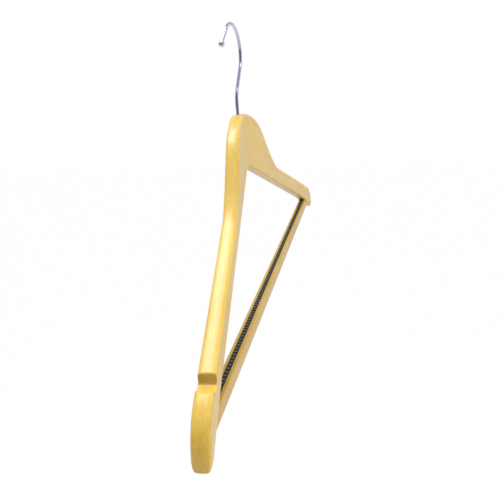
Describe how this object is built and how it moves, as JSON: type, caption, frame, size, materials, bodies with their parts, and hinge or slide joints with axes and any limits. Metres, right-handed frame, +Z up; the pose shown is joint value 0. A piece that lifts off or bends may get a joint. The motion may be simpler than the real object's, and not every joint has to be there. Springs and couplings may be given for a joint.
{
  "type": "suit hanger",
  "caption": "Wooden suit hanger with swept arms, strap notches, a trouser bar with a ribbed anti-slip strip, and a swivelling wire hook with a ball tip.",
  "frame": {"origin": "the point under the hook's crown where the hanger sits on its rail", "axes": "+Z up, X along the hanger from the left arm's tip to the right arm's tip, -Y forwards, the way the arms sweep"},
  "size_m": [0.4476, 0.035, 0.2199],
  "materials": {
    "arm_wood": "clear satin lacquer over pale straight-grained wood",
    "bar_wood": "clear satin lacquer over pale straight-grained wood",
    "strip": "matt moulded rubber with cross ribs",
    "hook_chrome": "bright chrome plating",
    "plain_steel": "plain zinc-plated steel"
  },
  "bodies": {
    "swivel_hook": {"hook": "hook_chrome", "hook_collar": "plain_steel"},
    "wooden_frame": {"left_arm": "arm_wood", "right_arm": "arm_wood", "trouser_bar": "bar_wood", "anti_slip_strip": "strip", "left_bar_pin": "plain_steel", "right_bar_pin": "plain_steel", "hook_washer": "plain_steel"}
  },
  "joints": [
    {"name": "hook_swivel", "type": "hinge", "parent": "swivel_hook", "child": "wooden_frame", "pos_m": [0, 0, -0.09], "axis": [0, 0, 1], "continuous": true}
  ]
}
